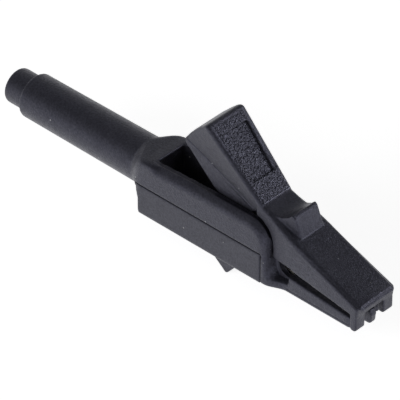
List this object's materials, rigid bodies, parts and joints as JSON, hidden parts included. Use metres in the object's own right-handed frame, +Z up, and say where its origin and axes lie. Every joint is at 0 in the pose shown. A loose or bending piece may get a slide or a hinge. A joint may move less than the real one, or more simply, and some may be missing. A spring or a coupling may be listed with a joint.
{
  "type": "crocodile clip",
  "caption": "Insulated crocodile clip: a sprung lever closes a toothed jaw on a shrouded housing with a rear sleeve and socket for a 4 mm plug.",
  "frame": {"origin": "centre of the socket's mouth, at the end of the rear sleeve", "axes": "+X along the sleeve from the socket's mouth to the jaws' tip, +Z up to the side with the thumb lever, +Y to the left when looking along +X"},
  "size_m": [0.0829, 0.0104, 0.0283],
  "materials": {
    "insulation": "matte, finely textured moulding",
    "nickel": "nickel-plated, satin",
    "brass": "nickel-plated brass, turned",
    "steel": "satin steel",
    "spring_steel": "drawn wire"
  },
  "bodies": {
    "clip_base": {"housing": "insulation", "bottom_cover": "insulation", "socket_contact": "brass", "contact_rivet": "brass", "lower_jaw_contact": "nickel", "hinge_pin": "steel", "torsion_spring": "spring_steel"},
    "clip_lever": {"lever": "insulation", "upper_jaw_contact": "nickel"}
  },
  "joints": [
    {"name": "lever_hinge", "type": "hinge", "parent": "clip_base", "child": "clip_lever", "pos_m": [0.0584, 0, 0.0008], "axis": [0, -1, 0], "range_deg": [0, 20], "stiffness_Nm_per_rad": 0.3, "springref_deg": -20.05, "deforming": ["torsion_spring"]}
  ]
}
